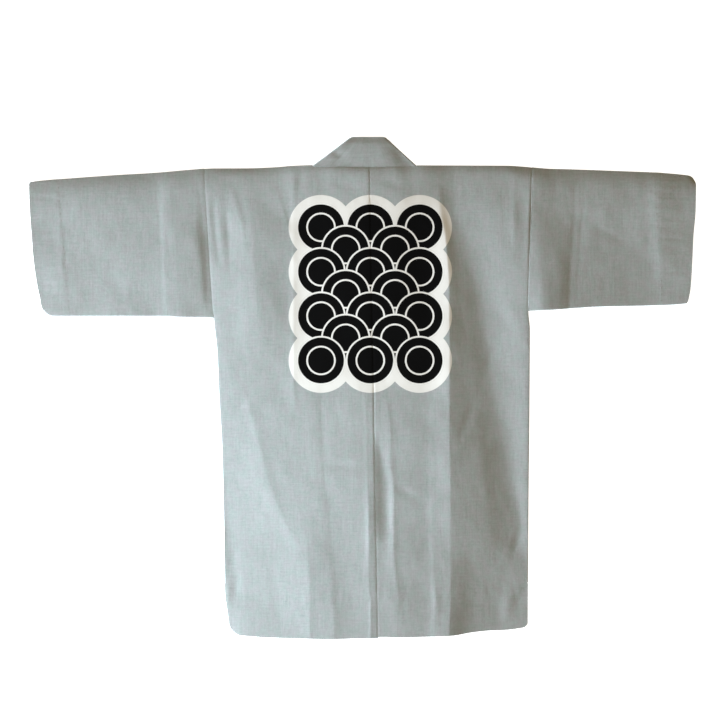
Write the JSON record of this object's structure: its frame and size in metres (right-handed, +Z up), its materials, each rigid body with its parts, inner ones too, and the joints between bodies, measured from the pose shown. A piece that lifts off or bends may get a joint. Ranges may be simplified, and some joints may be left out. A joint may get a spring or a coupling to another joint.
{
  "type": "happi coat laid flat",
  "caption": "Japanese happi coat laid flat with its back up: straight body, wide sleeves and a long collar band.",
  "frame": {"origin": "centre of the laid coat's box, on the surface that it lies on", "axes": "+X to the right along the sleeves as the back is seen from above, +Y from the hem to the collar, +Z up"},
  "size_m": [1.3, 0.9828, 0.0065],
  "materials": {
    "cotton": "matt, plain weave with slubs"
  },
  "bodies": {
    "root": {"body_left": "cotton", "body_right": "cotton", "sleeve_left": "cotton", "sleeve_right": "cotton", "collar": "cotton"}
  },
  "joints": []
}
